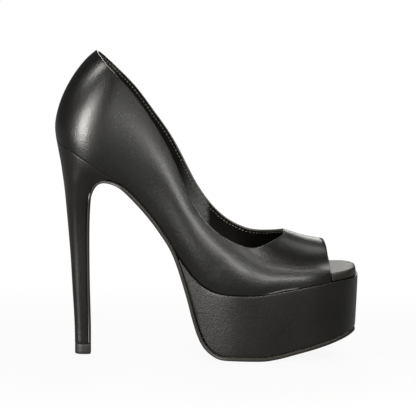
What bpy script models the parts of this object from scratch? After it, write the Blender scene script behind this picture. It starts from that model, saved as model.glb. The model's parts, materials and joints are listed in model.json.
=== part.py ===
"""Peep toe platform pump with a stiletto heel, right shoe, standing on its sole.

Six pieces: upper, insole, platform, outsole, heel and top lift. Metres, +Z up,
+X towards the toe, +Y towards the inner side of the foot. The origin is on the
floor under the middle of the shoe.

Everything grows from one line, the seat: the side view of the surface that the
insole, the upper's lower edge, the platform, the arch and the heel share. The
tables below hold shares of the named sizes, one row for each section.
"""
import bmesh
import bpy
import functools
import math
import numpy as np
from mathutils import Vector

# Overall sizes
SHOE_LENGTH = 0.2150
BALL_WIDTH = 0.0790
HEEL_HEIGHT = 0.1530
PLATFORM_HEIGHT = 0.0471
TOE_LIFT = 0.0104
TOE_SPRING = 0.0178

# Upper
COUNTER_HEIGHT = 0.0637
VAMP_HEIGHT = 0.0379
UPPER_WALL = 0.0016
COUNTER_BOW = 0.0090
BOW_LOW = 0.90
BOW_FULL = 0.70
SWELL_LOW = 0.75
HEEL_ROUND = 0.0270
THROAT_SETBACK = 0.0505
THROAT_ROUND = 0.0270
THROAT_FULL = 0.17
PEEP_SETBACK = 0.0201

# Sole
TOE_ROUND = 0.0430
TOE_SQUARE = 2.50
PLATFORM_LEDGE = 0.0011
PLATFORM_DRAFT = 0.0022
OUTSOLE_WALL = 0.0026
FLAP_WALL = 0.0015
OUTSOLE_EDGE = 0.0003
OUTSOLE_BEVEL = 0.22
INSOLE_WALL = 0.0060
INSOLE_EDGE = 0.0022
PLATFORM_EDGE = 0.0009
EDGE_LIMIT = 0.3
WEDGE_SHARE = 0.4116
ARCH_START = 0.258
ARCH_END = 0.395
ARCH_STEP = 0.034

# Heel
HEEL_BACK = 0.0014
HEEL_SEAT_LENGTH = 0.0450
HEEL_TIP_SETBACK = 0.0126
LIFT_HEIGHT = 0.0073
LIFT_WIDTH = 0.0106
LIFT_LENGTH = 0.0114
LIFT_EDGE = 0.0006
STEM_ROUND = 0.55
STEM_FRONT = 0.80
STEM_NARROW = 0.14
FLAP_TURN = 0.35
FLAP_FADE = 0.25

# Clearance between pieces that touch, and between the wall and the insole
GAP = 0.0003
INSOLE_CLEARANCE = 0.0006

# How finely the pieces are divided
UPPER_COLUMNS = 11
SECTION_STEP = 0.0052
PATH_STEP = 0.0042
FLAP_STEP = 0.0030
STEM_SHARE = 0.66
END_SHARE = 0.05
END_ROWS = 9
TOE_ROWS = 14
INSOLE_ROWS = 9
STEM_COLUMNS = (0.66, 0.80, 0.90, 1.00)
LEAST_HALF = 0.0020
FINE_STEP = 0.0004
FINE_ANGLE = 0.0001
COLUMN_HOLD = 0.8

# The seat seen from the side: place along the shoe as a share of its length,
# climb as a share of the rise from platform to heel, lift as a share of the toe's
SEAT = (
    # along, climb, lift
    (0.0065, 1.000, 0.00),
    (0.078, 0.916, 0.00),
    (0.162, 0.807, 0.00),
    (0.2205, 0.728, 0.00),
    (0.257, 0.659, 0.00),
    (0.310, 0.540, 0.00),
    (0.363, 0.395, 0.00),
    (0.411, 0.236, 0.00),
    (0.447, 0.131, 0.00),
    (0.497, 0.040, 0.00),
    (0.539, 0.008, 0.00),
    (0.602, 0.000, 0.00),
    (0.665, 0.000, 0.02),
    (0.748, 0.000, 0.28),
    (0.833, 0.000, 0.59),
    (0.913, 0.000, 0.86),
    (1.000, 0.000, 1.00),
)

# Half widths of the seat as shares of the ball's width, before the round ends,
# and the sideways sway of its middle line
WIDTHS = (
    # along, outer, inner, sway
    (0.000, 0.305, 0.305, 0.000),
    (0.120, 0.312, 0.310, 0.000),
    (0.220, 0.295, 0.285, -0.006),
    (0.320, 0.275, 0.250, -0.014),
    (0.410, 0.295, 0.262, -0.018),
    (0.500, 0.372, 0.335, -0.014),
    (0.590, 0.460, 0.425, -0.006),
    (0.665, 0.495, 0.480, 0.002),
    (0.735, 0.495, 0.500, 0.012),
    (0.800, 0.488, 0.494, 0.022),
    (1.000, 0.484, 0.484, 0.048),
)

# Sections of the upper: its line leans and rises to a closing point over the
# foot, worked out as shares of the length, counter height and vamp height. The
# cut is the share of that rise at which the topline passes, before the throat
SECTIONS = (
    # along, lean, counter, vamp, swell, point, bend, cut outer, cut inner
    (0.0065, 0.2437, 1.818, 0.000, 0.060, 0.34, 0.00, 0.550, 0.550),
    (0.081, 0.1930, 1.837, 0.000, 0.060, 0.34, 0.00, 0.534, 0.534),
    (0.151, 0.1490, 1.805, 0.000, 0.064, 0.34, 0.00, 0.538, 0.540),
    (0.221, 0.1070, 1.695, 0.000, 0.076, 0.33, 0.00, 0.550, 0.558),
    (0.291, 0.0700, 1.586, 0.000, 0.094, 0.32, 0.00, 0.572, 0.594),
    (0.360, 0.0326, 1.570, 0.000, 0.104, 0.32, 0.00, 0.588, 0.645),
    (0.430, 0.0000, 1.300, 0.375, 0.098, 0.34, 0.05, 0.598, 0.712),
    (0.500, -0.0300, 0.900, 0.783, 0.074, 0.40, 0.20, 0.586, 0.728),
    (0.565, -0.0350, 0.450, 1.182, 0.046, 0.48, 0.40, 0.566, 0.672),
    (0.630, -0.0330, 0.150, 1.370, 0.030, 0.56, 0.60, 0.562, 0.655),
    (0.686, -0.0240, 0.000, 1.330, 0.022, 0.60, 0.80, 0.618, 0.712),
    (0.733, -0.0160, 0.000, 1.125, 0.018, 0.60, 0.92, 0.700, 0.770),
    (0.775, -0.0120, 0.000, 0.985, 0.014, 0.57, 1.00, 0.730, 0.800),
    (0.849, -0.0240, 0.000, 0.795, 0.010, 0.53, 1.00, 0.750, 0.810),
    (0.912, -0.0363, 0.000, 0.680, 0.008, 0.48, 1.00, 0.760, 0.810),
)

# The ground side of the outsole under the platform and up its back: height as
# a share of the toe's spring, then of the platform's height
GROUND = (
    # along, spring, rise
    (0.990, 1.00, 0.000),
    (0.946, 0.80, 0.000),
    (0.867, 0.50, 0.000),
    (0.788, 0.25, 0.000),
    (0.735, 0.09, 0.000),
    (0.680, 0.00, 0.000),
    (0.615, 0.00, 0.000),
    (0.553, 0.00, 0.000),
    (0.542, 0.00, 0.009),
    (0.530, 0.00, 0.031),
    (0.512, 0.00, 0.082),
    (0.492, 0.00, 0.166),
    (0.472, 0.00, 0.330),
    (0.452, 0.00, 0.615),
    (0.433, 0.00, 0.950),
)

# The outer line of the flap, from the arch round under the heel's lip and down
# the heel's front: distance ahead of the tip as a share of the seat's length,
# height as a share of the rise from the top lift to the heel's full height
FLAP = (
    # ahead, height
    (0.476, 0.7780),
    (0.382, 0.7927),
    (0.287, 0.8001),
    (0.196, 0.8006),
    (0.113, 0.7885),
    (0.052, 0.7580),
    (0.018, 0.7264),
    (-0.006, 0.6643),
    (-0.019, 0.5391),
    (-0.014, 0.2739),
    (0.000, 0.0856),
    (0.000, 0.0000),
)

# Sections of the heel, from its foot to the seat: how far its back stands
# behind the tip's back and at what share of that rise, where its front lies
# along the flap, its half width as a share of the seat's, and how far its form
# has turned from the stem's into the seat's
HEEL = (
    # back, height, front, half, seat
    (0.000, 0.0000, 0.000, 0.212, 0.00),
    (0.002, 0.0645, 0.070, 0.216, 0.00),
    (0.020, 0.1813, 0.190, 0.232, 0.00),
    (0.042, 0.3002, 0.315, 0.262, 0.00),
    (0.062, 0.4170, 0.440, 0.306, 0.02),
    (0.091, 0.5360, 0.570, 0.378, 0.06),
    (0.124, 0.6538, 0.700, 0.500, 0.14),
    (0.160, 0.7717, 0.800, 0.672, 0.30),
    (0.187, 0.8306, 0.862, 0.790, 0.46),
    (0.216, 0.8895, 0.915, 0.890, 0.66),
    (0.254, 0.9474, 0.960, 0.962, 0.86),
)


def throat_place():
    return SHOE_LENGTH - THROAT_SETBACK


def peep_place():
    return SHOE_LENGTH - PEEP_SETBACK


def above_lift(share):
    """Height at a share of the rise from the top lift to the heel's full height."""
    foot = LIFT_HEIGHT + GAP
    return foot + share * (HEEL_HEIGHT - foot)


def column(table, number):
    return np.array([row[number] for row in table], dtype=float)


@functools.lru_cache(maxsize=None)
def row_bending(xs, ys):
    """How strongly the smooth curve through the rows bends at each of them."""
    count = len(xs)
    step = np.diff(xs)
    slope = np.diff(ys) / step
    system = np.eye(count)
    right = np.zeros(count)
    for i in range(1, count - 1):
        system[i, i - 1] = step[i - 1]
        system[i, i] = 2.0 * (step[i - 1] + step[i])
        system[i, i + 1] = step[i]
        right[i] = 6.0 * (slope[i] - slope[i - 1])
    return np.linalg.solve(system, right)


def curve_through(xs, ys, x):
    """A smooth curve through the rows, bending evenly from one to the next."""
    bending = row_bending(tuple(xs), tuple(ys))
    xs = np.asarray(xs, dtype=float)
    ys = np.asarray(ys, dtype=float)
    x = np.asarray(x, dtype=float)
    i = np.clip(np.searchsorted(xs, x) - 1, 0, len(xs) - 2)
    width = xs[i + 1] - xs[i]
    low = (xs[i + 1] - x) / width
    high = (x - xs[i]) / width
    sag = (low ** 3 - low) * bending[i] + (high ** 3 - high) * bending[i + 1]
    return low * ys[i] + high * ys[i + 1] + sag * width ** 2 / 6.0


def curve_level(xs, ys, x):
    """A curve through the rows that never swings past them."""
    xs = np.asarray(xs, dtype=float)
    ys = np.asarray(ys, dtype=float)
    step = np.diff(xs)
    slope = np.diff(ys) / step
    tangent = np.zeros(len(xs))
    tangent[0] = slope[0]
    tangent[-1] = slope[-1]
    for i in range(1, len(xs) - 1):
        if slope[i - 1] * slope[i] > 0.0:
            before = 2.0 * step[i] + step[i - 1]
            after = step[i] + 2.0 * step[i - 1]
            tangent[i] = (before + after) / (before / slope[i - 1] + after / slope[i])
    x = np.asarray(x, dtype=float)
    i = np.clip(np.searchsorted(xs, x) - 1, 0, len(xs) - 2)
    t = (x - xs[i]) / step[i]
    start = (1.0 + 2.0 * t) * (1.0 - t) ** 2 * ys[i] + t * (1.0 - t) ** 2 * step[i] * tangent[i]
    end = t ** 2 * (3.0 - 2.0 * t) * ys[i + 1] - t ** 2 * (1.0 - t) * step[i] * tangent[i + 1]
    return start + end


def seat_height(run):
    """Height of the seat at a distance run forward from the back of the shoe."""
    rise = column(SEAT, 1) * (HEEL_HEIGHT - PLATFORM_HEIGHT)
    height = PLATFORM_HEIGHT + rise + column(SEAT, 2) * TOE_LIFT
    return curve_through(column(SEAT, 0) * SHOE_LENGTH, height, run)


def seat_normal(run):
    """Upward normal of the seat in the side view."""
    slope = (seat_height(run + FINE_STEP) - seat_height(run - FINE_STEP)) / (2.0 * FINE_STEP)
    length = np.sqrt(1.0 + slope ** 2)
    return -slope / length, 1.0 / length


def base_width(run, side):
    """Half width of the seat at a run, before its ends are rounded."""
    share = column(WIDTHS, 1 if side < 0 else 2)
    return float(curve_through(column(WIDTHS, 0) * SHOE_LENGTH, share * BALL_WIDTH, run))


def half_width(run, side, grow=0.0):
    """Half width of the seat's outline at a run, grown outwards by a margin."""
    toe = min(max((run - toe_start()) / (TOE_ROUND + grow), 0.0), 1.0)
    back = min(max((HEEL_BACK + HEEL_ROUND - run) / (HEEL_ROUND + grow), 0.0), 1.0)
    ends = (1.0 - toe ** TOE_SQUARE) ** (1.0 / TOE_SQUARE) * math.sqrt(1.0 - back ** 2)
    return (base_width(run, side) + grow) * ends


def middle(run):
    """Sideways place of the shoe's middle line."""
    return curve_through(column(WIDTHS, 0) * SHOE_LENGTH, column(WIDTHS, 3) * BALL_WIDTH, run)


def section_value(number, run):
    return curve_through(column(SECTIONS, 0) * SHOE_LENGTH, column(SECTIONS, number), run)


def last_point(run, side, angle, top_angle):
    """A point of the upper's outside: angle climbs a section from the seat."""
    climb = math.sin(angle)
    bend = float(section_value(6, run))
    lean = float(section_value(1, run)) * SHOE_LENGTH
    counter = float(section_value(2, run)) * COUNTER_HEIGHT
    tall = counter + float(section_value(3, run)) * VAMP_HEIGHT
    swell = float(section_value(4, run)) * BALL_WIDTH
    point = float(section_value(5, run))
    back = min(max(1.0 - (run - HEEL_BACK) / HEEL_ROUND, 0.0), 1.0)
    share = min(climb / math.sin(top_angle), 1.0)
    bow = COUNTER_BOW * back * math.sin(math.pi * share ** BOW_LOW) ** BOW_FULL
    chord = math.hypot(lean, tall)
    x = run + lean * ((1.0 - bend) * climb + bend * (1.0 - math.cos(angle))) - bow * tall / chord
    z = float(seat_height(run)) + tall * climb + bow * lean / chord
    full = half_width(run, side) * max(math.cos(angle), 0.0) ** (2.0 * point)
    round_back = math.sqrt(1.0 - back ** 2)
    bulge = swell * round_back * math.sin(math.pi * climb ** SWELL_LOW)
    return x, float(middle(run)) + side * (full + bulge), z


def near_throat(run):
    """0 where the topline starts to turn in, 1 at the throat."""
    return min(max((run - throat_place()) / THROAT_ROUND + 1.0, 0.0), 1.0)


def cut_angle(run, side):
    """Angle at which the topline crosses a section; a right angle at the throat."""
    cut = float(section_value(7 if side < 0 else 8, run))
    point = float(section_value(5, run))
    near = near_throat(run)
    opening = math.sqrt(1.0 - cut ** 2) * (1.0 - near ** 2) ** (THROAT_FULL / point)
    return math.pi / 2.0 if near >= 1.0 else math.acos(opening)


def section_angle(run, share, top):
    """Angle of one column: the low columns keep their place where the top closes."""
    left = math.pi / 2.0 - top
    if left < FINE_ANGLE:
        return share * math.pi / 2.0
    hold = COLUMN_HOLD * near_throat(run) ** 2 * top / left
    return share * math.pi / 2.0 - left * share ** (1.0 + hold)


def even_runs(start, end, step):
    return list(np.linspace(start, end, max(int(round((end - start) / step)), 1) + 1))


def upper_runs():
    """Places of the upper's sections, closer at the back and at the throat."""
    angles = np.radians(np.linspace(0.0, 90.0, END_ROWS + 1)[:-1])
    bend = throat_place() - THROAT_ROUND
    runs = [HEEL_BACK + HEEL_ROUND * (1.0 - math.cos(angle)) for angle in angles]
    runs += even_runs(HEEL_BACK + HEEL_ROUND, bend, SECTION_STEP)[:-1]
    runs += [bend + THROAT_ROUND * math.sin(angle) for angle in angles]
    closed = even_runs(throat_place(), peep_place(), SECTION_STEP)
    return runs, closed


def world(point):
    """From runs measured off the back of the shoe to the shoe's own frame."""
    return Vector((point[0] - SHOE_LENGTH / 2.0, point[1], point[2]))


def add_material(thing, colour, roughness):
    material = bpy.data.materials.new(thing.name)
    material.use_nodes = True
    shader = material.node_tree.nodes["Principled BSDF"]
    shader.inputs["Base Color"].default_value = (*colour, 1.0)
    shader.inputs["Roughness"].default_value = roughness
    shader.inputs["Metallic"].default_value = 0.0
    thing.data.materials.append(material)


def add_object(collection, name, bm, colour, roughness):
    mesh = bpy.data.meshes.new(name)
    bm.to_mesh(mesh)
    bm.free()
    thing = bpy.data.objects.new(name, mesh)
    collection.objects.link(thing)
    mesh.shade_smooth()
    mesh.set_sharp_from_angle(angle=math.radians(40.0))
    add_material(thing, colour, roughness)
    return thing


def add_loft(collection, name, rings, colour, roughness):
    """A closed solid through rings of equal counts, its ends closed by strips."""
    bm = bmesh.new()
    layers = []
    for ring in rings:
        layers.append([bm.verts.new(world(point)) for point in ring])
    count = len(layers[0])
    for low, high in zip(layers, layers[1:]):
        for i in range(count):
            j = (i + 1) % count
            bm.faces.new((low[i], low[j], high[j], high[i]))
    for layer in (layers[0], layers[-1]):
        for i in range(count // 2 - 1):
            bm.faces.new((layer[i], layer[i + 1], layer[count - 2 - i], layer[count - 1 - i]))
    bmesh.ops.recalc_face_normals(bm, faces=bm.faces)
    return add_object(collection, name, bm, colour, roughness)


def make_upper(collection):
    """The wall: an open surface from seat to topline, given its thickness."""
    bm = bmesh.new()
    open_runs, closed_runs = upper_runs()
    shares = np.linspace(0.0, 1.0, UPPER_COLUMNS)
    grids = {}
    back = None
    for side in (-1, 1):
        rows = []
        for number, run in enumerate(open_runs + closed_runs):
            is_closed = number >= len(open_runs)
            top = math.pi / 2.0 if is_closed else cut_angle(run, side)
            row = []
            for share in shares:
                row.append(last_point(run, side, section_angle(run, share, top), top))
            rows.append(row)
        grids[side] = rows
    ridge = {}
    sheets = {}
    for side in (-1, 1):
        sheet = []
        for number, row in enumerate(grids[side]):
            if number == 0 and back is not None:
                sheet.append(back)
                continue
            verts = []
            for i, point in enumerate(row):
                on_ridge = number >= len(open_runs) and i == len(row) - 1
                if on_ridge and number in ridge:
                    verts.append(ridge[number])
                    continue
                vert = bm.verts.new(world(point))
                if on_ridge:
                    ridge[number] = vert
                verts.append(vert)
            if number == 0:
                back = verts
            sheet.append(verts)
        sheets[side] = sheet
    for side, sheet in sheets.items():
        for low, high in zip(sheet, sheet[1:]):
            for i in range(UPPER_COLUMNS - 1):
                face = (low[i], high[i], high[i + 1], low[i + 1])
                bm.faces.new(face if side < 0 else face[::-1])
    thing = add_object(collection, "upper", bm, (0.012, 0.011, 0.010), 0.32)
    wall = thing.modifiers.new("wall", "SOLIDIFY")
    wall.thickness = UPPER_WALL
    wall.offset = -1.0
    wall.use_even_offset = True
    wall.use_rim = True
    return thing


def toe_start():
    return SHOE_LENGTH - PLATFORM_LEDGE - TOE_ROUND


def toe_station(run, grow):
    """The station at which an outline grown by a margin reaches a run."""
    share = (run - toe_start()) / (TOE_ROUND + grow)
    return 1.0 + math.asin(share ** (TOE_SQUARE / 2.0)) / (math.pi / 2.0)


def outline_point(station, side, grow):
    """A point of the grown outline. Stations run from -1 at the heel's back to 0
    where its curve ends, on to 1 where the toe's curve starts, and to 2."""
    back_end = HEEL_BACK + HEEL_ROUND
    back = math.radians(90.0 * max(-station, 0.0))
    toe = math.radians(90.0 * max(station - 1.0, 0.0))
    along = back_end + (toe_start() - back_end) * min(max(station, 0.0), 1.0)
    ahead = math.sin(toe) ** (2.0 / TOE_SQUARE)
    run = along - (HEEL_ROUND + grow) * math.sin(back) + (TOE_ROUND + grow) * ahead
    reach = (base_width(run, side) + grow) * math.cos(back) * math.cos(toe) ** (2.0 / TOE_SQUARE)
    return run, float(middle(run)) + side * max(reach, LEAST_HALF)


def strip_ring(station, profile, height):
    """A section across the shoe: each point is grown and set at its own height."""
    ring = []
    for side in (-1, 1):
        points = []
        for grow, level in profile:
            run, y = outline_point(station, side, grow)
            x, z = height(run, level)
            points.append((x, y, z))
        ring += points if side < 0 else points[::-1]
    return ring


def stations_between(start, end, step, rounds):
    """Stations along the straight stretch, then round the toe."""
    straight = toe_start() - HEEL_BACK - HEEL_ROUND
    count = max(int(round((1.0 - start) * straight / step)), 1)
    stations = list(np.linspace(start, 1.0, count + 1)[:-1])
    return stations + list(np.linspace(1.0, end, rounds))


def path_points():
    """The outsole's ground side, seen from the side, from the toe to the heel."""
    along = column(GROUND, 0) * SHOE_LENGTH
    height = column(GROUND, 1) * TOE_SPRING + column(GROUND, 2) * PLATFORM_HEIGHT
    arch = []
    for share in even_runs(ARCH_START, ARCH_END, ARCH_STEP):
        run = share * SHOE_LENGTH
        nx, nz = seat_normal(run)
        depth = GAP + OUTSOLE_WALL
        arch.append((run - nx * depth, float(seat_height(run)) - nz * depth))
    xs = [point[0] for point in arch] + list(along[::-1])
    zs = [point[1] for point in arch] + list(height[::-1])
    first = []
    for run in np.arange(along[0], arch[0][0], -FINE_STEP):
        first.append((float(run), float(curve_level(xs, zs, run))))
    tip = HEEL_BACK + HEEL_TIP_SETBACK + LIFT_LENGTH
    second = [first[-1]]
    for ahead, share in FLAP:
        second.append((tip + ahead * HEEL_SEAT_LENGTH, above_lift(share)))
    spans = np.array([math.dist(a, b) for a, b in zip(second, second[1:])])
    places = np.concatenate(([0.0], np.cumsum(np.sqrt(spans))))
    fine = np.linspace(0.0, places[-1], int(np.sum(spans) / FINE_STEP))
    xs = curve_through(places, [point[0] for point in second], fine)
    zs = curve_through(places, [point[1] for point in second], fine)
    return first, list(zip(xs, zs))


def resample(points, step):
    """Points along a line, evenly spaced, with where the line turns away."""
    points = np.array(points, dtype=float)
    lengths = np.concatenate(([0.0], np.cumsum(np.hypot(*np.diff(points, axis=0).T))))
    count = max(int(round(lengths[-1] / step)), 2)
    places = np.linspace(0.0, lengths[-1], count + 1)
    x = np.interp(places, lengths, points[:, 0])
    z = np.interp(places, lengths, points[:, 1])
    tangent = np.gradient(np.stack((x, z)), axis=1)
    tangent /= np.hypot(*tangent)
    return x, z, tangent[1], -tangent[0]


def sole_line():
    """Stations of the outsole: place, inward normal, wall and share on the flap."""
    first, second = path_points()
    grow = PLATFORM_LEDGE - PLATFORM_DRAFT + OUTSOLE_EDGE
    rounds = [outline_point(2.0 - share, -1, grow)[0] for share in np.linspace(END_SHARE, 1.0, TOE_ROWS)]
    dense = np.array(first)
    flat = dense[dense[:, 0] < rounds[-1]]
    ax, az, _, _ = resample(flat, PATH_STEP)
    ax = np.concatenate((rounds[:-1], ax))
    az = np.interp(ax, dense[::-1, 0], dense[::-1, 1])
    bx, bz, _, _ = resample(second, FLAP_STEP)
    x = np.concatenate((ax, bx[1:]))
    z = np.concatenate((az, bz[1:]))
    tangent = np.gradient(np.stack((x, z)), axis=1)
    tangent /= np.hypot(*tangent)
    nx = tangent[1]
    nz = -tangent[0]
    flap = np.concatenate((np.zeros(len(ax)), np.linspace(0.0, 1.0, len(bx))[1:]))
    fade = np.clip(flap / FLAP_FADE, 0.0, 1.0)
    wall = OUTSOLE_WALL + (FLAP_WALL - OUTSOLE_WALL) * fade
    return x, z, nx, nz, wall, flap


def heel_half(height):
    """Half width of the heel's front at a height."""
    seat = half_width(HEEL_BACK + HEEL_SEAT_LENGTH, -1)
    levels = above_lift(column(HEEL, 1))
    return float(curve_level(levels, column(HEEL, 3) * seat, height))


def heel_front():
    """The heel's front line against the flap, from its foot to its lip."""
    x, z, nx, nz, wall, flap = sole_line()
    lip = HEEL_BACK + HEEL_SEAT_LENGTH
    first = int(np.argmin(np.abs(x - lip) + (flap <= 0.0)))
    x, z, nx, nz, wall = (values[first:][::-1] for values in (x, z, nx, nz, wall))
    places = np.concatenate(([0.0], np.cumsum(np.hypot(np.diff(x), np.diff(z)))))
    return places / places[-1], x + nx * (wall + GAP), z + nz * (wall + GAP)


def make_outsole(collection):
    x, z, nx, nz, wall, flap = sole_line()
    rings = []
    lip = HEEL_BACK + HEEL_SEAT_LENGTH
    for i in range(len(x)):
        ring = []
        for side in (-1, 1):
            if flap[i] > 0.0 and x[i] < lip:
                turn = min((lip - x[i]) / (FLAP_TURN * HEEL_SEAT_LENGTH), 1.0)
                seat = half_width(lip, side)
                level = heel_half(z[i])
                reach = seat + (level - seat) * turn ** 2 * (3.0 - 2.0 * turn)
            else:
                depth = max(float(seat_height(x[i])) - z[i], 0.0)
                draft = PLATFORM_DRAFT * min(depth / PLATFORM_HEIGHT, 1.0)
                reach = half_width(x[i], side, PLATFORM_LEDGE - draft)
            reach = max(reach + OUTSOLE_EDGE, LEAST_HALF)
            bevel = wall[i] * OUTSOLE_BEVEL
            profile = ((bevel, 0.0), (0.0, bevel), (0.0, wall[i] - bevel), (bevel, wall[i]))
            points = []
            for inset, depth in profile:
                y = float(middle(x[i])) + side * (reach - inset)
                points.append((x[i] + nx[i] * depth, y, max(z[i] + nz[i] * depth, 0.0)))
            ring += points if side < 0 else points[::-1]
        rings.append(ring)
    return add_loft(collection, "outsole", rings, (0.020, 0.018, 0.017), 0.42)


def make_platform(collection):
    """The covered block between the outsole and the seat."""
    first, _ = path_points()
    x, z, nx, nz = resample(first, PATH_STEP / 3.0)
    bed_x = (x + nx * (OUTSOLE_WALL + GAP))[::-1]
    bed_z = (z + nz * (OUTSOLE_WALL + GAP))[::-1]

    def height(run, level):
        high = float(seat_height(run)) - GAP / float(seat_normal(run)[1])
        low = float(np.interp(run, bed_x, bed_z))
        edge = min(PLATFORM_EDGE, (high - low) * EDGE_LIMIT)
        share, edges = level
        return run, low + (high - low) * share + edge * edges

    straight = toe_start() - HEEL_BACK - HEEL_ROUND
    start = (WEDGE_SHARE * SHOE_LENGTH - HEEL_BACK - HEEL_ROUND) / straight
    rings = []
    for station in stations_between(start, 2.0 - END_SHARE, SECTION_STEP, TOE_ROWS):
        run, _ = outline_point(station, -1, 0.0)
        thick = height(run, (1.0, 0.0))[1] - height(run, (0.0, 0.0))[1]
        draft = PLATFORM_DRAFT * min(thick / PLATFORM_HEIGHT, 1.0)
        edge = min(PLATFORM_EDGE, thick * EDGE_LIMIT)
        low = PLATFORM_LEDGE - draft
        profile = (
            (low - edge, (0.0, 0.0)),
            (low - edge * 0.3, (0.0, 0.3)),
            (low, (0.0, 1.0)),
            (PLATFORM_LEDGE, (1.0, -1.0)),
            (PLATFORM_LEDGE - edge * 0.3, (1.0, -0.3)),
            (PLATFORM_LEDGE - edge, (1.0, 0.0)),
        )
        rings.append(strip_ring(station, profile, height))
    return add_loft(collection, "platform", rings, (0.022, 0.020, 0.019), 0.40)


def make_insole(collection):
    """The padded inner sole: inside the wall, and full width past the peep edge."""
    inside = -UPPER_WALL - INSOLE_CLEARANCE
    outside = -GAP
    step = toe_station(peep_place() + GAP, inside)
    past = toe_station(peep_place() + 4.0 * GAP, outside)
    inner = list(np.linspace(END_SHARE * 2.0 - 1.0, 0.0, INSOLE_ROWS)[:-1])
    inner += stations_between(0.0, step, SECTION_STEP, INSOLE_ROWS)
    outer = list(np.linspace(past, 2.0 - END_SHARE, INSOLE_ROWS))

    def height(run, level):
        nx, nz = seat_normal(run)
        return run + nx * level, float(seat_height(run)) + nz * level

    rings = []
    for station in inner + outer:
        grow = inside if station <= step and station in inner else outside
        _, reach = outline_point(station, 1, grow)
        edge = min(INSOLE_EDGE, reach * EDGE_LIMIT)
        profile = (
            (grow - GAP, 0.0),
            (grow, GAP),
            (grow, INSOLE_WALL - edge),
            (grow - edge * 0.3, INSOLE_WALL - edge * 0.3),
            (grow - edge, INSOLE_WALL),
        )
        rings.append(strip_ring(station, profile, height))
    return add_loft(collection, "insole", rings, (0.016, 0.015, 0.014), 0.45)


def stem_form(share):
    """Half width of the stem's section, from its round back to its flat front."""
    back = min(share / STEM_ROUND, 1.0)
    front = max((share - STEM_FRONT) / (1.0 - STEM_FRONT), 0.0)
    return math.sqrt(1.0 - (1.0 - back) ** 2) * (1.0 - STEM_NARROW * front ** 2)


def stem_shares():
    """Places of the columns from the stem's back to its front, closer at the back."""
    rounds = np.radians(np.linspace(8.0, 62.0, END_ROWS - 1))
    return [1.0 - math.cos(angle) for angle in rounds] + list(STEM_COLUMNS)


def make_heel(collection):
    """A stiletto whose round back runs into the seat, hollowed at the front."""
    shares = stem_shares()
    lip = HEEL_BACK + HEEL_SEAT_LENGTH
    seat_half = half_width(lip, -1)
    tip_back = HEEL_BACK + HEEL_TIP_SETBACK
    rings = []
    front = column(HEEL, 2)
    places, front_x, front_z = heel_front()
    for i, place in enumerate(places):
        if place > front[-1] or (place < STEM_SHARE and i % 3 > 0):
            continue
        back, level, half, seat = (float(curve_level(front, column(HEEL, n), place)) for n in (0, 1, 3, 4))
        bx = tip_back - back * HEEL_SEAT_LENGTH
        bz = above_lift(level)
        fx = front_x[i]
        fz = front_z[i]
        ring = []
        for side in (-1, 1):
            points = []
            for share in shares:
                run = bx + (fx - bx) * share
                at_seat = HEEL_BACK + HEEL_SEAT_LENGTH * share
                outline = half_width(at_seat, side) / half_width(lip, side)
                form = stem_form(share) * (1.0 - seat) + outline * seat
                y = float(middle(at_seat)) * seat + side * half * seat_half * form
                points.append((run, y, bz + (fz - bz) * share))
            ring += points if side < 0 else points[::-1]
        rings.append(ring)
    ring = []
    for side in (-1, 1):
        points = []
        for share in shares:
            run = HEEL_BACK + HEEL_SEAT_LENGTH * share
            nx, nz = seat_normal(run)
            y = float(middle(run)) + side * half_width(run, side)
            points.append((run - nx * GAP, y, float(seat_height(run)) - nz * GAP))
        ring += points if side < 0 else points[::-1]
    rings.append(ring)
    return add_loft(collection, "heel", rings, (0.024, 0.020, 0.018), 0.36)


def make_top_lift(collection):
    """The wearing piece under the heel's tip, flat on the floor."""
    shares = stem_shares()
    tip_back = HEEL_BACK + HEEL_TIP_SETBACK
    levels = ((LIFT_EDGE, 0.0), (0.0, LIFT_EDGE), (0.0, LIFT_HEIGHT - GAP), (GAP, LIFT_HEIGHT))
    rings = []
    for inset, height in levels:
        ring = []
        for side in (-1, 1):
            points = []
            for share in shares:
                run = tip_back + inset + (LIFT_LENGTH - 2.0 * inset) * share
                reach = (LIFT_WIDTH / 2.0 - inset) * stem_form(share)
                points.append((run, side * reach, height))
            ring += points if side < 0 else points[::-1]
        rings.append(ring)
    return add_loft(collection, "top_lift", rings, (0.015, 0.014, 0.014), 0.55)


def clear_scene():
    for thing in list(bpy.data.objects):
        bpy.data.objects.remove(thing, do_unlink=True)


def main():
    clear_scene()
    collection = bpy.data.collections.new("peep_toe_pump")
    bpy.context.scene.collection.children.link(collection)
    make_upper(collection)
    make_insole(collection)
    make_platform(collection)
    make_outsole(collection)
    make_heel(collection)
    make_top_lift(collection)


main()
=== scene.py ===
"""Peep toe platform pump, right shoe: the finish of every piece, the floor, the light and the view.

Metres, +Z up, +X towards the toe, +Y towards the inner side of the foot.
"""
import bmesh
import bpy
import json
import math
import numpy as np
from bpy.props import FloatProperty, FloatVectorProperty, PointerProperty
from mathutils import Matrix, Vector
from mathutils.bvhtree import BVHTree

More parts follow.
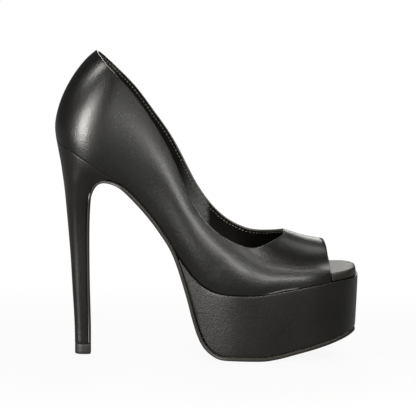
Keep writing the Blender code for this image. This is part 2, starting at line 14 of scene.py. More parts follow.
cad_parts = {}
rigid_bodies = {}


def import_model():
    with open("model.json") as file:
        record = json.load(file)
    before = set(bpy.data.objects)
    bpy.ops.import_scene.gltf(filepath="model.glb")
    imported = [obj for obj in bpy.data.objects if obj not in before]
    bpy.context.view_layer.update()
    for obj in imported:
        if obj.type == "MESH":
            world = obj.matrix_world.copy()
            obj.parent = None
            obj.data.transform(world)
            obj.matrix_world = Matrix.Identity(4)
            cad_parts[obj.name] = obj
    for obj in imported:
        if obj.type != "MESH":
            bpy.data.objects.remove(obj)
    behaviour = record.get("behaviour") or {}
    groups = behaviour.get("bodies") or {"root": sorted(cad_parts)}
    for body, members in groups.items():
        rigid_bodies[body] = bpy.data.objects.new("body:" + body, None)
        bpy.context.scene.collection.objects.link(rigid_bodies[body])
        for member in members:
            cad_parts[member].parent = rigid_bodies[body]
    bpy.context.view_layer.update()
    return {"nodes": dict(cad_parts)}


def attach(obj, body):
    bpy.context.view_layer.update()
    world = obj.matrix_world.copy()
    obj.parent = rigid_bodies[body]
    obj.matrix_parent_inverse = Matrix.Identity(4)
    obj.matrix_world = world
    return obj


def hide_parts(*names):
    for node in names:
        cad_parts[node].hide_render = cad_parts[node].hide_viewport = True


bl_info = {
    "name": "Peep toe pump",
    "version": (1, 0, 0),
    "blender": (4, 5, 0),
    "location": "3D View > Sidebar > Pump",
    "description": "Finishes a platform pump, piece by piece, and sets it on a pale floor",
    "category": "Object",
}

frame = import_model()
WHITE = (1.0, 1.0, 1.0)

# Points closer than this are one point
MERGE = 1e-6
# Faces that meet at more than this angle meet in an edge that stays crisp
CREASE_ANGLE = math.radians(30.0)
# Every piece is subdivided this often. Then edges over the first angle are
# rounded in so many steps, and edges over the second still shade sharp
SMOOTH_LEVELS = 2
ROUND_ANGLE = math.radians(50.0)
ROUND_STEPS = 3
SHARP_ANGLE = math.radians(52.0)

# The upper's materials, by their place in its list
OUTSIDE, LINING, FOLDED = range(3)
# A point that the upper's outside faces away from
WITHIN_UPPER = Vector((0.0, 0.0, 0.1))

# Soft folds of the upper: a line from start to end, how wide, and how deep it
# dips; a negative depth is a ridge
FOLDS = (
    # start, end, width, depth
    ((-0.006, -0.034, 0.104), (0.014, -0.040, 0.078), 0.0060, -0.0003),
    ((0.010, -0.038, 0.092), (0.026, -0.041, 0.070), 0.0050, 0.0002),
    ((-0.006, 0.034, 0.104), (0.014, 0.040, 0.078), 0.0060, -0.0003),
    ((0.036, -0.030, 0.084), (0.050, -0.040, 0.066), 0.0100, 0.0001),
    ((0.036, 0.030, 0.084), (0.050, 0.040, 0.066), 0.0100, 0.0001),
)

# How rough each leather is, and how strong its wax coat
LEATHERS = {
    # name: roughness, coat
    "black_calf": (0.28, 0.22),
    "folded_edge_highlight": (0.30, 0.30),
    "black_lining": (0.38, 0.10),
    "insole_cover": (0.42, 0.10),
    "platform_cover": (0.32, 0.15),
    # The platform's and the heel's folds: their paler colour is a painted highlight
    "platform_fold": (0.30, 0.20),
    "heel_cover": (0.30, 0.20),
    "heel_fold": (0.30, 0.20),
}
COAT_ROUGHNESS = 0.22
LEATHER_SHEEN = 0.38
# The painted highlight on the platform's and the heel's rounded edges, next to the one on the topline's rim
COVER_FOLD_HIGHLIGHT_TONE = 0.40

# Noise in the leathers, in waves to a metre
BLOTCHES = 38.0
STREAKS = 420.0
SPECKLES = 1700.0
# A pore's size, as a share of one cell of the grain, and the depths of the
# pores, streaks and speckles, as shares of the grain's depth
PORE_SIZE = 0.45
PORE_DEPTH = 0.25
STREAK_DEPTH = 1.1
SPECKLE_DEPTH = 1.8
# The lining's grain, next to the upper's
LINING_FINER = 0.8
LINING_FLATTER = 0.5

# The upper's seams are grooves. The back seam ends at an X; the inner side's
# leans back as it rises, and starts at a Y
SEAM_WIDTH = 0.0007
SEAM_DEPTH = 0.0004
BACK_SEAM_END = -0.050
SIDE_SEAM_X = 0.0420
SIDE_SEAM_LEAN = 0.35
SIDE_SEAM_START = 0.015

# The lining's painted highlight, a pale patch on the far wall's inside: it fades in and out between two
# places each along the foot, and lies on the inner side, near the topline
LINING_HIGHLIGHT_IN = (-0.020, -0.004)
LINING_HIGHLIGHT_OUT = (-0.001, 0.003)
LINING_HIGHLIGHT_INNER = 0.012
LINING_HIGHLIGHT_ABOVE = 0.080
LINING_HIGHLIGHT_GREY = 0.22

# Fine relief of the other pieces. Scratches have waves to a metre along,
# across and through the sole
THREAD_TWIST = 1500.0
THREAD_DEPTH = 0.00005
SCRATCHES = (60.0, 900.0, 900.0)
DULL_PATCHES = 45.0
SOLE_PORE = 0.0012
SOLE_DEPTH = 0.00002
EDGE_FIBRES = 900.0
EDGE_BANDS = 70.0
EDGE_DEPTH = 0.00003
LIFT_PIT = 0.0006
LIFT_DEPTH = 0.00003
# The outsole's edge is dyed dark below the first height and raw above the second
DYED_TO_RAW = (0.020, 0.034)

# A stitch's sides, and how far its middle stands off the lining, as a share of
# its thickness
STITCH_SEGMENTS = 8
STITCH_RINGS = 6
STITCH_PROUD = 0.2

# Studio lights: azimuth and elevation in degrees and distance from the shoe,
# size, and how bright the light looks from it
LIGHTS = (
    # name, azimuth, elevation, distance, width, height, radiance
    ("counter_box", -46.0, 3.0, 0.90, 0.24, 0.26, 42.0),
    ("peak_box", -70.0, 38.0, 0.90, 0.22, 0.18, 21.0),
    ("side_box", -6.0, 3.0, 0.90, 0.16, 0.12, 4.0),
    ("quarter_box", 1.5, 5.5, 0.33, 0.075, 0.050, 19.0),
    ("vamp_box", 20.0, 3.5, 0.33, 0.065, 0.050, 19.0),
    ("shoulder_box", 56.0, 38.0, 0.90, 0.26, 0.24, 15.0),
    ("toe_box", 20.0, 36.0, 0.90, 0.26, 0.10, 12.0),
    ("back_box", 178.0, 14.0, 0.90, 0.40, 0.24, 3.3),
    ("top_box", 165.0, 64.0, 0.90, 0.45, 0.40, 2.5),
    ("rim_box", 95.0, 34.0, 0.90, 0.34, 0.34, 5.0),
)
LIGHT_COLOUR = (1.0, 0.99, 0.95)

# The floor's painted shade: darker to the eye near the shoe, turning white between two distances from it
FLOOR_RADIUS = 14.0
FLOOR_SIDES = 64
FLOOR_SHADE_FADE = (0.10, 0.60)
VIEW_REACH = 60.0


class LeatherSettings(bpy.types.PropertyGroup):
    """Colours and grain of the leathers."""
    upper: FloatVectorProperty(
        name="Upper", description="Colour of the upper's leather",
        subtype="COLOR", size=3, default=(0.0028, 0.0026, 0.0021))
    platform: FloatVectorProperty(
        name="Platform", description="Colour of the leather over the platform",
        subtype="COLOR", size=3, default=(0.0044, 0.0039, 0.0032))
    heel: FloatVectorProperty(
        name="Heel", description="Colour of the leather over the heel",
        subtype="COLOR", size=3, default=(0.0046, 0.0039, 0.0033))
    # The folded edge's colour is a painted highlight: pale on the upper's rim, and toned down on the
    # platform's and the heel's rounded edges
    fold_highlight: FloatVectorProperty(
        name="Folded edge", description="Colour of the leather where it is stretched over the topline",
        subtype="COLOR", size=3, default=(0.1100, 0.1020, 0.0880))
    lining: FloatVectorProperty(
        name="Lining", description="Colour of the lining",
        subtype="COLOR", size=3, default=(0.0110, 0.0100, 0.0088))
    insole: FloatVectorProperty(
        name="Insole", description="Colour of the padded insole's cover",
        subtype="COLOR", size=3, default=(0.0120, 0.0112, 0.0088))
    grain: FloatProperty(
        name="Grain", description="Size of one cell of the grain",
        default=0.0008, unit="LENGTH", precision=5)
    grain_depth: FloatProperty(
        name="Grain depth", description="Depth of the grain",
        default=0.00005, unit="LENGTH", precision=6)
    cover_round: FloatProperty(
        name="Cover edge", description="Rounding of the platform's and the heel's covered edges",
        default=0.0005, unit="LENGTH", precision=5)
    rim_round: FloatProperty(
        name="Rim", description="Rounding of the folded edge",
        default=0.00065, unit="LENGTH", precision=5)


class SoleSettings(bpy.types.PropertyGroup):
    """Colours of the sole, its edge and the top lift."""
    sole: FloatVectorProperty(
        name="Sole", description="Colour of the outsole's face",
        subtype="COLOR", size=3, default=(0.0160, 0.0145, 0.0130))
    edge: FloatVectorProperty(
        name="Edge", description="Colour of the outsole's edge under the platform",
        subtype="COLOR", size=3, default=(0.0140, 0.0120, 0.0100))
    raw_edge: FloatVectorProperty(
        name="Raw edge", description="Colour of the edge along the arch and the flap",
        subtype="COLOR", size=3, default=(0.0560, 0.0430, 0.0310))
    # A pale colour that paints the highlight along the top corner of the sole's edge
    edge_highlight_line: FloatVectorProperty(
        name="Welt", description="Colour of the thin line between the sole and the platform's cover",
        subtype="COLOR", size=3, default=(0.3200, 0.2700, 0.2000))
    lift: FloatVectorProperty(
        name="Top lift", description="Colour of the top lift",
        subtype="COLOR", size=3, default=(0.0120, 0.0112, 0.0105))


class StitchSettings(bpy.types.PropertyGroup):
    """The stitches that hold the lining to the topline."""
    # The thread's pale colour is a painted highlight on the stitches
    thread: FloatVectorProperty(
        name="Thread", description="Colour of the thread",
        subtype="COLOR", size=3, default=(0.3400, 0.3200, 0.2800))
    pitch: FloatProperty(
        name="Pitch", description="Distance from one stitch to the next",
        default=0.0026, unit="LENGTH", precision=5)
    length: FloatProperty(
        name="Length", description="Length of one stitch",
        default=0.0018, unit="LENGTH", precision=5)
    thickness: FloatProperty(
        name="Thickness", description="Thickness of the thread",
        default=0.00045, unit="LENGTH", precision=5)
    inset: FloatProperty(
        name="Inset", description="Distance of the stitches below the folded edge",
        default=0.0020, unit="LENGTH", precision=5)


class StageSettings(bpy.types.PropertyGroup):
    """The view and the light."""
    distance: FloatProperty(
        name="Distance", description="Distance of the camera", default=3.2, unit="LENGTH")
    elevation: FloatProperty(
        name="Elevation", description="Height angle of the camera",
        default=math.radians(7.8), subtype="ANGLE")
    width: FloatProperty(
        name="Width", description="Width of the view at the shoe", default=0.2943, unit="LENGTH")
    centre: FloatVectorProperty(
        name="Centre", description="What the camera looks at",
        subtype="TRANSLATION", size=3, default=(0.0011, 0.0, 0.1040))
    surroundings: FloatProperty(
        name="Surroundings", description="Brightness of the room around the shoe", default=0.08)
    floor_grey: FloatProperty(
        name="Floor grey", description="How much of the lights' glare the floor gives back", default=0.03)
    # The floor's brightness to the eye near the shoe, lowered there as a painted shade
    floor_glow_painted_shade: FloatProperty(
        name="Floor glow", description="Brightness of the floor to the eye", default=0.915)
    floor_light: FloatProperty(
        name="Floor light", description="Light that the floor throws on the shoe", default=0.24)


class Field:
    """A value or colour that changes over a surface. Python's operators on it add Math nodes."""

    def __init__(self, nodes, socket):
        self.nodes = nodes
        self.socket = socket

    def worked(self, operation, first, second=0.0):
        return self.nodes.node("ShaderNodeMath", {"operation": operation}, {0: first, 1: second})

    def __add__(self, other):
        return self.worked("ADD", self, other)

    def __radd__(self, other):
        return self.worked("ADD", other, self)

    def __sub__(self, other):
        return self.worked("SUBTRACT", self, other)

    def __rsub__(self, other):
        return self.worked("SUBTRACT", other, self)

    def __mul__(self, other):
        return self.worked("MULTIPLY", self, other)

    def __rmul__(self, other):
        return self.worked("MULTIPLY", other, self)

    def __abs__(self):
        return self.worked("ABSOLUTE", self)

    def over(self, limit):
        """1 where the value is over the limit, and 0 elsewhere."""
        return self.worked("GREATER_THAN", self, limit)

    def under(self, limit):
        """1 where the value is under the limit, and 0 elsewhere."""
        return self.worked("LESS_THAN", self, limit)

    def ridge(self, width):
        """1 where the value is 0, falling to 0 at a width to either side."""
        return abs(self).spread(0.0, width, 1.0, 0.0)

    def spread(self, low, high, start=0.0, end=1.0):
        """The value's stretch from low to high, laid over start to end."""
        return self.nodes.node(
            "ShaderNodeMapRange", {"interpolation_type": "SMOOTHSTEP"},
            {"Value": self, "From Min": low, "From Max": high, "To Min": start, "To Max": end})


class Nodes:
    """The nodes of one tree, all made by one method."""

    def __init__(self, tree):
        self.tree = tree

    def node(self, kind, settings=None, values=None, output=0):
        """Any node: its settings first, then the values or links of its sockets."""
        made = self.tree.nodes.new(kind)
        for key, value in (settings or {}).items():
            setattr(made, key, value)
        for key, value in (values or {}).items():
            if isinstance(value, Field):
                self.tree.links.new(value.socket, made.inputs[key])
            else:
                made.inputs[key].default_value = value
        return Field(self, made.outputs[output])

    def between(self, mask, first, second):
        """One colour where the mask is 0, the other where it is 1."""
        first, second = (
            colour if isinstance(colour, Field) else (*colour, 1.0) for colour in (first, second))
        return self.node("ShaderNodeMix", {"data_type": "RGBA"}, {0: mask, 6: first, 7: second}, 2)


class Finish(Nodes):
    """A material built on one Principled shader, some of whose sockets are fixed."""

    def __init__(self, name, fixed=None):
        self.material = bpy.data.materials.new(name)
        self.material.use_nodes = True
        super().__init__(self.material.node_tree)
        self.shader = self.tree.nodes["Principled BSDF"]
        for socket, value in (fixed or {}).items():
            self.shader.inputs[socket].default_value = value
        self.place = self.node("ShaderNodeTexCoord", output="Object")
        self.x, self.y, self.z = (
            self.node("ShaderNodeSeparateXYZ", {}, {0: self.place}, axis) for axis in "XYZ")

    def noise(self, scale, detail=3.0, rough=0.5, place=None):
        values = {"Vector": place or self.place, "Scale": scale, "Detail": detail, "Roughness": rough}
        return self.node("ShaderNodeTexNoise", {}, values, "Fac")

    def cells(self, size, feature="SMOOTH_F1"):
        values = {"Vector": self.place, "Scale": 1.0 / size}
        return self.node("ShaderNodeTexVoronoi", {"feature": feature}, values, "Distance")

    def set(self, socket, field):
        self.tree.links.new(field.socket, self.shader.inputs[socket])

    def raise_by(self, *layers):
        """Bumps, one on another: each has its height field and its depth in metres."""
        values = {}
        for height, depth in layers:
            values.update({"Height": height, "Distance": depth, "Strength": 1.0})
            values = {"Normal": self.node("ShaderNodeBump", {}, values)}
        self.set("Normal", values["Normal"])


def toned(colour, share):
    """The colour at a share of its brightness."""
    return tuple(channel * share for channel in colour)


def leather(name, colour, settings, finer=1.0, flatter=1.0, seams=None, lining_highlight=None):
    """Smooth calf leather: a fine pebbled grain with pores, faint blotches and a wax coat."""
    roughness, coat = LEATHERS[name]
    grain = settings.grain * finer
    depth = settings.grain_depth * flatter
    finish = Finish(name, {
        "Coat Weight": coat, "Coat Roughness": COAT_ROUGHNESS, "Specular IOR Level": LEATHER_SHEEN})
    pebbles = finish.cells(grain)
    pores = finish.cells(grain * PORE_SIZE, "F1")
    drift = finish.noise(BLOTCHES)
    streaks = finish.noise(STREAKS, rough=0.55)
    speckle = finish.noise(SPECKLES, rough=0.60)
    shade = finish.between(drift.spread(0.30, 0.70), toned(colour, 0.80), toned(colour, 1.30))
    worn = streaks.spread(0.56, 0.74, 0.0, 0.30)
    tint = finish.between(worn, shade, toned(colour, 1.6))
    grooves = seams(finish) if seams else ()
    for groove in grooves:
        tint = finish.between(groove * 0.7, tint, toned(colour, 0.3))
    # Painted highlight: a pale grey patch on the lining
    if lining_highlight:
        highlight_patch = lining_highlight(finish) * streaks.spread(0.30, 0.60, 0.6, 1.0)
        tint = finish.between(highlight_patch, tint, toned(WHITE, LINING_HIGHLIGHT_GREY))
    finish.set("Base Color", tint)
    finish.set("Roughness", roughness + (streaks - 0.5) * 0.10 + (drift - 0.5) * 0.07 + pebbles * 0.06)
    layers = [
        (pebbles * -1.0, depth),
        (pores.spread(0.10, 0.30), depth * PORE_DEPTH),
        (streaks, depth * STREAK_DEPTH),
        (speckle, depth * SPECKLE_DEPTH),
    ]
    layers += [(groove * -1.0, SEAM_DEPTH) for groove in grooves]
    finish.raise_by(*layers)
    return finish.material


def upper_leather(settings):
    """The upper's leather, with the groove of the back seam and of the inner side's seam."""
    def seams(finish):
        back = finish.y.ridge(SEAM_WIDTH) * finish.x.under(BACK_SEAM_END)
        lean = finish.x + finish.z * SIDE_SEAM_LEAN - SIDE_SEAM_X
        return back, lean.ridge(SEAM_WIDTH) * finish.y.over(SIDE_SEAM_START)
    return leather("black_calf", settings.upper, settings, seams=seams)


def lining_leather(settings):
    """The lining, with a pale patch of painted highlight on the inner side."""
    def lining_highlight(finish):
        along = finish.x.spread(*LINING_HIGHLIGHT_IN) * finish.x.spread(*LINING_HIGHLIGHT_OUT, 1.0, 0.0)
        return along * finish.y.over(LINING_HIGHLIGHT_INNER) * finish.z.over(LINING_HIGHLIGHT_ABOVE)
    return leather("black_lining", settings.lining, settings, LINING_FINER, LINING_FLATTER, lining_highlight=lining_highlight)


def thread_finish(settings):
    """Waxed thread, twisted along its length, in a pale colour that paints the stitches' highlight."""
    finish = Finish("waxed_thread")
    twist = finish.noise(THREAD_TWIST, 2.0)
    finish.set("Base Color", finish.between(twist, toned(settings.thread, 0.6), toned(settings.thread, 1.3)))
    finish.set("Roughness", 0.42 + twist * 0.2)
    finish.raise_by((twist, THREAD_DEPTH))
    return finish.material


def sole_finish(settings):
    """Dark sole leather: fine scratches along the sole and dulled patches where it is stood on."""
    finish = Finish("dark_sole", {"Specular IOR Level": 0.35})
    along = finish.node("ShaderNodeMapping", {}, {0: finish.place, 3: SCRATCHES})
    scratches = finish.noise(1.0, 4.0, 0.6, along)
    patches = finish.noise(DULL_PATCHES)
    dust = scratches.spread(0.60, 0.78, 0.0, 0.35)
    finish.set("Base Color", finish.between(dust, settings.sole, toned(settings.sole, 3.0)))
    finish.set("Roughness", 0.38 + patches * 0.12 + dust * 0.2)
    finish.raise_by((scratches, SOLE_DEPTH), (finish.cells(SOLE_PORE), SOLE_DEPTH))
    return finish.material


def edge_finish(settings):
    """The outsole's edge: dyed dark under the platform, raw along the arch, and a painted highlight as a
    pale line on top.
    """
    finish = Finish("sole_edge", {"Specular IOR Level": 0.40})
    fibres = finish.noise(EDGE_FIBRES, 4.0, 0.6)
    bands = finish.noise(EDGE_BANDS, 2.0)
    level = finish.node("ShaderNodeAttribute", {"attribute_name": "layer"}, {}, "Fac")
    under_foot = finish.z.spread(*DYED_TO_RAW, 1.0, 0.0)
    raw = level.spread(0.10, 0.40) * (1.0 - under_foot)
    dyed = finish.between(raw * (1.0 - fibres * 0.4), settings.edge, settings.raw_edge)
    # Painted highlight: a pale line along the top of the edge under the platform
    edge_highlight_line = level.spread(0.86, 0.97) * under_foot * bands.spread(0.25, 0.50, 0.45, 1.0)
    finish.set("Base Color", finish.between(edge_highlight_line, dyed, settings.edge_highlight_line))
    finish.set("Roughness", 0.36 + bands * 0.15)
    finish.raise_by((fibres, EDGE_DEPTH))
    return finish.material


def lift_finish(settings):
    """Hard black rubber, finely pitted."""
    finish = Finish("black_lift")
    pits = finish.cells(LIFT_PIT)
    finish.set("Base Color", finish.between(pits, settings.lift, toned(settings.lift, 1.6)))
    finish.set("Roughness", 0.45 + pits * 0.15)
    finish.raise_by((pits, LIFT_DEPTH))
    return finish.material


def floor_finish(settings):
    """The floor: white to the eye, with a painted shade a trace darker close to the shoe, and a dim light
    below it.
    """
    finish = Finish("pale_floor", {"Roughness": 0.8, "Specular IOR Level": 0.1, "Emission Strength": 1.0})
    base = (settings.floor_grey,) * 3
    finish.set("Base Color", finish.between(finish.noise(3.0), base, toned(base, 1.05)))
    away = finish.node("ShaderNodeVectorMath", {"operation": "LENGTH"}, {0: finish.place}, "Value")
    # Painted shade: the floor glows a trace darker near the shoe
    glow = finish.between(away.spread(*FLOOR_SHADE_FADE), (settings.floor_glow_painted_shade,) * 3, WHITE)
    seen = finish.node("ShaderNodeLightPath", output="Is Camera Ray")
    finish.set("Emission Color", finish.between(seen, (settings.floor_light,) * 3, glow))
    return finish.material


def merged_copy(node):
    """A CAD solid's shape with its doubles merged and its triangles joined into fours."""
    bm = bmesh.new()
    bm.from_mesh(frame["nodes"][node].data)
    bmesh.ops.remove_doubles(bm, verts=bm.verts, dist=MERGE)
    bmesh.ops.join_triangles(
        bm, faces=bm.faces, angle_face_threshold=CREASE_ANGLE, angle_shape_threshold=math.pi)
    return bm


def is_crisp(edge):
    return len(edge.link_faces) == 2 and edge.calc_face_angle() > CREASE_ANGLE


def regions(bm):
    """The faces between crisp edges, in groups, the largest first."""
    groups = []
    left = set(bm.faces)
    for first in bm.faces:
        if first not in left:
            continue
        left.remove(first)
        waiting = [first]
        group = []
        while waiting:
            face = waiting.pop()
            group.append(face)
            for edge in face.edges:
                if is_crisp(edge):
                    continue
                for near in edge.link_faces:
                    if near in left:
                        left.remove(near)
                        waiting.append(near)
        groups.append(group)
    groups.sort(key=lambda group: -sum(face.calc_area() for face in group))
    return groups


def faces_inwards(group):
    """Whether the group's faces look, on the whole, towards the middle of the upper."""
    return sum((face.calc_center_median() - WITHIN_UPPER).dot(face.normal) for face in group) < 0.0


def give_material(groups, index):
    for group in groups:
        for face in group:
            face.material_index = index


def mark_layer(bm, foot_side):
    """A value for every point of the sole's edge: 1 on the foot's side, 0 away from it."""
    layer = bm.verts.layers.float.new("layer")
    for face in foot_side:
        for vert in face.verts:
            vert[layer] = 1.0


def add_object(name, data):
    """A new object in the scene, at the origin."""
    thing = bpy.data.objects.new(name, data)
    bpy.context.scene.collection.objects.link(thing)
    return thing


def work_in_modifiers(thing):
    """Turns the object's modifiers into its plain mesh."""
    bpy.context.view_layer.update()
    graph = bpy.context.evaluated_depsgraph_get()
    finished = bpy.data.meshes.new_from_object(thing.evaluated_get(graph))
    thing.modifiers.clear()
    thing.data = finished


def smooth_piece(name, bm, materials, edge_width=0.0):
    """A finished piece: subdivided with its crisp edges kept, then those edges rounded.
    The rounding takes the last material."""
    crease = bm.edges.layers.float.new("crease_edge")
    for edge in bm.edges:
        edge[crease] = 1.0 if is_crisp(edge) else 0.0
    mesh = bpy.data.meshes.new(name)
    bm.to_mesh(mesh)
    bm.free()
    for material in materials:
        mesh.materials.append(material)
    thing = add_object(name, mesh)
    smooth = thing.modifiers.new("smooth", "SUBSURF")
    smooth.levels = SMOOTH_LEVELS
    smooth.render_levels = SMOOTH_LEVELS
    if edge_width:
        rounding = thing.modifiers.new("rounding", "BEVEL")
        rounding.width = edge_width
        rounding.segments = ROUND_STEPS
        rounding.limit_method = "ANGLE"
        rounding.angle_limit = ROUND_ANGLE
        rounding.use_clamp_overlap = True
        rounding.material = len(materials) - 1
    work_in_modifiers(thing)
    thing.data.shade_smooth()
    thing.data.set_sharp_from_angle(angle=SHARP_ANGLE)
    return thing


def covered_block(name, node, colour, settings):
    """A solid in its leather cover, with a painted highlight in a paler colour over the rounded edges."""
    cover = leather(f"{node}_cover", colour, settings)
    fold_highlight = leather(f"{node}_fold", toned(settings.fold_highlight, COVER_FOLD_HIGHLIGHT_TONE), settings)
    return smooth_piece(name, merged_copy(node), (cover, fold_highlight), settings.cover_round)


def press_folds(thing):
    """Soft troughs and ridges of the upper's outside, along the lines of FOLDS."""
    mesh = thing.data
    count = len(mesh.vertices)
    places = np.empty(count * 3)
    normals = np.empty(count * 3)
    mesh.vertices.foreach_get("co", places)
    mesh.vertices.foreach_get("normal", normals)
    places = places.reshape(count, 3)
    normals = normals.reshape(count, 3)
    outside = np.zeros((count, 1))
    for face in mesh.polygons:
        if face.material_index == OUTSIDE:
            outside[list(face.vertices)] = 1.0
    shift = np.zeros((count, 1))
    for start, end, width, depth in FOLDS:
        line = np.subtract(end, start)
        along = np.clip((places - start) @ line / (line @ line), 0.0, 1.0)
        away = np.linalg.norm(places - start - along[:, None] * line, axis=1, keepdims=True)
        shift -= depth * np.exp(-(away / width) ** 2)
    places += normals * shift * outside
    mesh.vertices.foreach_set("co", places.ravel())
    mesh.update()


def rim_loops(bm):
    """The closed lines between the upper's lining and its folded rims, each as a list of points.
    They start at the mesh's first edges, so that the stitches fall in the same places each run."""
    borders = [
        edge for edge in bm.edges
        if sorted(face.material_index for face in edge.link_faces) == [LINING, FOLDED]]
    left = set(borders)
    loops = []
    for first in borders:
        if first not in left:
            continue
        left.remove(first)
        verts = [first.verts[0], first.verts[1]]
        while verts[-1] is not verts[0]:
            following = [edge for edge in verts[-1].link_edges if edge in left]
            if not following:
                break
            left.remove(following[0])
            verts.append(following[0].other_vert(verts[-1]))
        loops.append([vert.co.copy() for vert in verts])
    return loops


def stitch_path(loop, surface, inset, proud):
    """The loop moved down the inside of the wall by an inset, and a little off it."""
    bm = bmesh.new()
    bm.from_mesh(surface.data)
    others = [face for face in bm.faces if face.material_index != LINING]
    bmesh.ops.delete(bm, geom=others, context="FACES")
    tree = BVHTree.FromBMesh(bm)
    points = loop[:-1]
    count = len(points)
    path = []
    for i, point in enumerate(points):
        tangent = (points[(i + 1) % count] - points[i - 1]).normalized()
        _, normal, _, _ = tree.find_nearest(point)
        side = normal.cross(tangent).normalized()
        if side.z > 0.0:
            side.negate()
        place, normal, _, _ = tree.find_nearest(point + side * inset)
        path.append(place + normal * proud)
    bm.free()
    return path


def stitch_tree(material):
    """Geometry Nodes: stitches along a closed line, one for each pitch."""
    tree = bpy.data.node_groups.new("topline_stitches", "GeometryNodeTree")
    tree.interface.new_socket("Line", in_out="INPUT", socket_type="NodeSocketGeometry")
    for name in ("Pitch", "Length", "Thickness"):
        tree.interface.new_socket(name, in_out="INPUT", socket_type="NodeSocketFloat")
    tree.interface.new_socket("Stitches", in_out="OUTPUT", socket_type="NodeSocketGeometry")
    nodes = Nodes(tree)
    line, pitch, length, thickness = (
        nodes.node("NodeGroupInput", output=name) for name in ("Line", "Pitch", "Length", "Thickness"))
    curve = nodes.node("GeometryNodeMeshToCurve", {}, {"Mesh": line})
    spaced = nodes.node("GeometryNodeResampleCurve", {"mode": "LENGTH"}, {"Curve": curve, "Length": pitch})
    ball = nodes.node(
        "GeometryNodeMeshUVSphere", {}, {"Segments": STITCH_SEGMENTS, "Rings": STITCH_RINGS, "Radius": 0.5})
    size = nodes.node("ShaderNodeCombineXYZ", {}, {"X": length, "Y": thickness, "Z": thickness})
    tangent = nodes.node("GeometryNodeInputTangent")
    turned = nodes.node("FunctionNodeAlignRotationToVector", {"axis": "X"}, {"Vector": tangent})
    placed = nodes.node("GeometryNodeInstanceOnPoints", {}, {
        "Points": spaced, "Instance": ball, "Rotation": turned, "Scale": size})
    real = nodes.node("GeometryNodeRealizeInstances", {}, {"Geometry": placed})
    smooth = nodes.node("GeometryNodeSetShadeSmooth", {}, {"Geometry": real})
    dyed = nodes.node("GeometryNodeSetMaterial", {}, {"Geometry": smooth, "Material": material})
    tree.links.new(dyed.socket, tree.nodes.new("NodeGroupOutput").inputs["Stitches"])
    return tree


def add_stitches(context, upper, topline):
    """The row of stitches inside the topline, made by Geometry Nodes."""
    settings = context.scene.pump_stitches
    path = stitch_path(topline, upper, settings.inset, settings.thickness * STITCH_PROUD)
    count = len(path)
    line = bpy.data.meshes.new("topline_stitches")
    line.from_pydata(path, [(i, (i + 1) % count) for i in range(count)], [])
    thing = add_object("topline_stitches", line)
    tree = stitch_tree(thread_finish(settings))
    sockets = {item.name: item.identifier for item in tree.interface.items_tree}
    stitched = thing.modifiers.new("stitches", "NODES")
    stitched.node_group = tree
    stitched[sockets["Pitch"]] = settings.pitch
    stitched[sockets["Length"]] = settings.length
    stitched[sockets["Thickness"]] = settings.thickness
    work_in_modifiers(thing)
    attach(thing, "root")


class PUMP_OT_upper(bpy.types.Operator):
    """The hollow leather upper with its lining, folded edge with a painted highlight, soft folds and
    stitches.
    """
    bl_idname = "pump.upper"
    bl_label = "Upper"

    def execute(self, context):
        settings = context.scene.pump_leather
        bm = merged_copy("upper")
        outer, inner, *rims = regions(bm)
        if faces_inwards(outer):
            outer, inner = inner, outer
        give_material([outer], OUTSIDE)
        give_material([inner], LINING)
        give_material(rims, FOLDED)
        topline = min(rim_loops(bm), key=lambda loop: max(point.x for point in loop))
        # A pale colour that paints the highlight along the upper's folded rim
        fold_highlight = leather("folded_edge_highlight", settings.fold_highlight, settings)
        materials = (upper_leather(settings), lining_leather(settings), fold_highlight)
        upper = smooth_piece("leather_upper", bm, materials, settings.rim_round)
        press_folds(upper)
        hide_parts("upper")
        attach(upper, "root")
        add_stitches(context, upper, topline)
        return {"FINISHED"}


class PUMP_OT_insole(bpy.types.Operator):
    """The padded insole in its leather cover."""
    bl_idname = "pump.insole"
    bl_label = "Insole"

    def execute(self, context):
        settings = context.scene.pump_leather
        cover = leather("insole_cover", settings.insole, settings)
        insole = smooth_piece("padded_insole", merged_copy("insole"), (cover,))
        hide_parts("insole")
        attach(insole, "root")
        return {"FINISHED"}


class PUMP_OT_platform(bpy.types.Operator):
    """The platform block in its leather cover."""
    bl_idname = "pump.platform"
    bl_label = "Platform"

    def execute(self, context):
        settings = context.scene.pump_leather
        platform = covered_block("covered_platform", "platform", settings.platform, settings)
        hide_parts("platform")
        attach(platform, "root")
        return {"FINISHED"}


class PUMP_OT_outsole(bpy.types.Operator):
    """The outsole strip and its flap, with a raw edge and a pale line of painted highlight."""
    bl_idname = "pump.outsole"
    bl_label = "Outsole"

    def execute(self, context):
        settings = context.scene.pump_sole
        bm = merged_copy("outsole")
        first, second, *edges = regions(bm)
        foot_side = max(
            (first, second), key=lambda group: sum(face.normal.z * face.calc_area() for face in group))
        mark_layer(bm, foot_side)
        give_material(edges, 1)
        outsole = smooth_piece("outsole_strip", bm, (sole_finish(settings), edge_finish(settings)))
        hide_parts("outsole")
        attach(outsole, "root")
        return {"FINISHED"}


class PUMP_OT_heel(bpy.types.Operator):
    """The covered stiletto heel and its top lift."""
    bl_idname = "pump.heel"
    bl_label = "Heel and top lift"

    def execute(self, context):
        settings = context.scene.pump_leather
        heel = covered_block("stiletto_heel", "heel", settings.heel, settings)
        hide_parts("heel")
        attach(heel, "root")
        rubber = lift_finish(context.scene.pump_sole)
        lift = smooth_piece("heel_top_lift", merged_copy("top_lift"), (rubber,))
        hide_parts("top_lift")
        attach(lift, "root")
        return {"FINISHED"}


def aim(thing, azimuth, elevation, distance, centre):
    """Sets a light or the camera off the centre and turns it there. Azimuth 0 is the camera's
    side, and it grows towards the toe."""
    level = math.cos(elevation) * distance
    away = Vector((math.sin(azimuth) * level, -math.cos(azimuth) * level, math.sin(elevation) * distance))
    centre = Vector(centre)
    place = centre + away
    thing.location = place
    thing.rotation_euler = (centre - place).to_track_quat("-Z", "Y").to_euler()


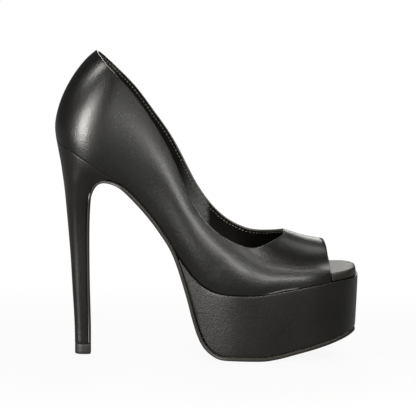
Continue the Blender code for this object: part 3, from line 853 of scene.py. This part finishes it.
def add_floor(settings):
    bm = bmesh.new()
    bmesh.ops.create_circle(bm, cap_ends=True, segments=FLOOR_SIDES, radius=FLOOR_RADIUS)
    mesh = bpy.data.meshes.new("studio_floor")
    bm.to_mesh(mesh)
    bm.free()
    mesh.materials.append(floor_finish(settings))
    floor = add_object("studio_floor", mesh)


def add_room(scene, settings):
    """The surroundings: white to the eye, and dim on the shoe."""
    world = bpy.data.worlds.new("studio")
    scene.world = world
    world.use_nodes = True
    room = Nodes(world.node_tree)
    seen = room.node("ShaderNodeLightPath", output="Is Camera Ray")
    shade = room.between(seen, (settings.surroundings,) * 3, WHITE)
    room.tree.links.new(shade.socket, room.tree.nodes["Background"].inputs["Color"])


def add_lights(settings):
    for name, azimuth, elevation, distance, width, height, radiance in LIGHTS:
        lamp = bpy.data.lights.new(name, "AREA")
        lamp.shape = "RECTANGLE"
        lamp.size = width
        lamp.size_y = height
        lamp.color = LIGHT_COLOUR
        lamp.energy = radiance * width * height * math.pi
        light = add_object(name, lamp)
        light.visible_camera = False
        aim(light, math.radians(azimuth), math.radians(elevation), distance, settings.centre)


def add_camera(scene, settings):
    lens = bpy.data.cameras.new("camera")
    lens.lens_unit = "FOV"
    lens.angle = 2.0 * math.atan(settings.width / 2.0 / settings.distance)
    lens.clip_end = VIEW_REACH
    camera = add_object("camera", lens)
    aim(camera, 0.0, settings.elevation, settings.distance, settings.centre)
    scene.camera = camera


class PUMP_OT_stage(bpy.types.Operator):
    """The pale floor, the soft lights and the camera."""
    bl_idname = "pump.stage"
    bl_label = "Stage"

    def execute(self, context):
        settings = context.scene.pump_stage
        context.scene.view_settings.view_transform = "Standard"
        add_floor(settings)
        add_room(context.scene, settings)
        add_lights(settings)
        add_camera(context.scene, settings)
        return {"FINISHED"}


SETTINGS = {
    "pump_leather": LeatherSettings,
    "pump_sole": SoleSettings,
    "pump_stitches": StitchSettings,
    "pump_stage": StageSettings,
}
OPERATORS = (PUMP_OT_upper, PUMP_OT_insole, PUMP_OT_platform, PUMP_OT_outsole, PUMP_OT_heel, PUMP_OT_stage)


class PUMP_PT_panel(bpy.types.Panel):
    """The pump's sizes and colours, and its pieces in the order in which they are made."""
    bl_label = "Peep toe pump"
    bl_idname = "PUMP_PT_panel"
    bl_space_type = "VIEW_3D"
    bl_region_type = "UI"
    bl_category = "Pump"

    def draw(self, context):
        for group in SETTINGS:
            settings = getattr(context.scene, group)
            box = self.layout.box()
            for name in settings.bl_rna.properties.keys():
                if name not in ("rna_type", "name"):
                    box.prop(settings, name)
        for operator in OPERATORS:
            self.layout.operator(operator.bl_idname)


def register():
    for name, group in SETTINGS.items():
        bpy.utils.register_class(group)
        setattr(bpy.types.Scene, name, PointerProperty(type=group))
    for operator in OPERATORS:
        bpy.utils.register_class(operator)
    bpy.utils.register_class(PUMP_PT_panel)


def unregister():
    bpy.utils.unregister_class(PUMP_PT_panel)
    for operator in reversed(OPERATORS):
        bpy.utils.unregister_class(operator)
    for name, group in SETTINGS.items():
        delattr(bpy.types.Scene, name)
        bpy.utils.unregister_class(group)


def main():
    for thing in list(bpy.data.objects):
        if thing.name in ("Cube", "Light", "Camera"):
            bpy.data.objects.remove(thing)
    register()
    bpy.ops.pump.upper()
    bpy.ops.pump.insole()
    bpy.ops.pump.platform()
    bpy.ops.pump.outsole()
    bpy.ops.pump.heel()
    bpy.ops.pump.stage()


if __name__ == "__main__":
    main()
